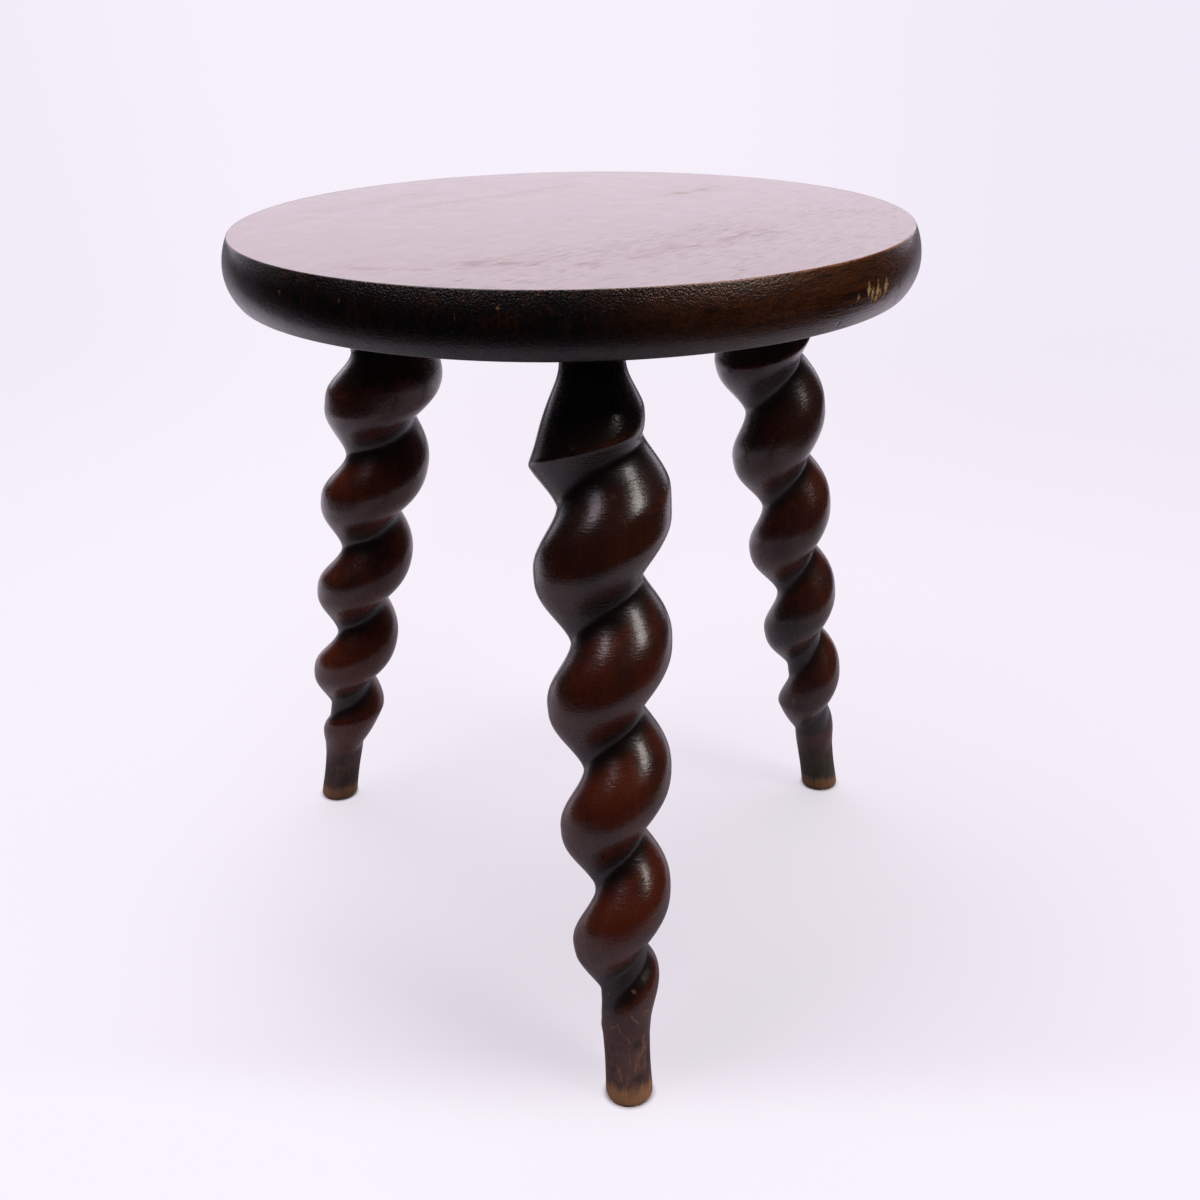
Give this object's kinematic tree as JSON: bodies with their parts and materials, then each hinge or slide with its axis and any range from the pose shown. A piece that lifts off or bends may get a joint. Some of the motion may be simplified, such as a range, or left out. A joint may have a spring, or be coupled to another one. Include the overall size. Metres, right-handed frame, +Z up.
{
  "type": "milking stool",
  "caption": "Low round wooden stool: a plain board seat with a rounded edge stands on splayed barley-twist legs that are tenoned and glued into its underside.",
  "frame": {"origin": "on the floor, at the middle of the stool's outline in plan, which is 1.9 mm to the left of the seat's centre and 11.3 mm in front of it", "axes": "+Z up, the front leg points to -Y, +X to the right as seen from the front"},
  "size_m": [0.2938, 0.3126, 0.33],
  "materials": {
    "seat_wood": "dark stained mahogany with worn wax polish, semi-gloss",
    "leg_wood": "dark red-brown stained mahogany with wax polish, satin, worn to bare wood at the feet"
  },
  "bodies": {
    "root": {"seat": "seat_wood", "leg_front": "leg_wood", "leg_left": "leg_wood", "leg_right": "leg_wood"}
  },
  "joints": []
}
